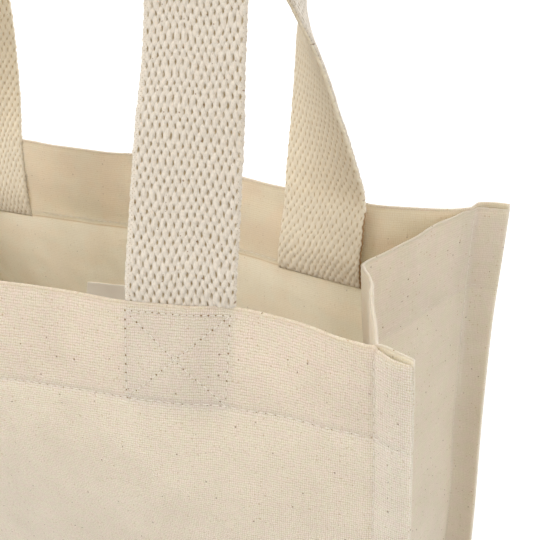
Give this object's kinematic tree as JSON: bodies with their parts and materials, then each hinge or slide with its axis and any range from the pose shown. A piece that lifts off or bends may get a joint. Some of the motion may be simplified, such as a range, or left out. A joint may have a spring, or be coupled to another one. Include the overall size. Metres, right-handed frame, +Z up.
{
  "type": "mini tote bag",
  "caption": "Open-topped canvas tote bag with folded side gussets, seamed corner fins, a turned hem and two swinging webbing handles.",
  "frame": {"origin": "middle of the underside of the base", "axes": "+Z up through the mouth, +X along the width to the bag's right side, -Y towards the front panel"},
  "size_m": [0.2726, 0.1172, 0.386],
  "materials": {
    "canvas": "unbleached plain-weave cotton canvas with seed flecks",
    "webbing": "heavy unbleached cotton webbing",
    "label": "plain woven label, blank"
  },
  "bodies": {
    "bag": {"front_panel": "canvas", "back_panel": "canvas", "right_gusset": "canvas", "left_gusset": "canvas", "base_panel": "canvas", "inside_label": "label", "front_handle_right_end": "webbing", "front_handle_left_end": "webbing", "back_handle_right_end": "webbing", "back_handle_left_end": "webbing"},
    "front_loop": {"front_handle": "webbing"},
    "back_loop": {"back_handle": "webbing"}
  },
  "joints": [
    {"name": "front_handle_swing", "type": "hinge", "parent": "bag", "child": "front_loop", "pos_m": [0, -0.0503, 0.24], "axis": [1, 0, 0], "range_deg": [0, 145]},
    {"name": "back_handle_swing", "type": "hinge", "parent": "bag", "child": "back_loop", "pos_m": [0, 0.0323, 0.24], "axis": [-1, 0, 0], "range_deg": [0, 165]}
  ]
}
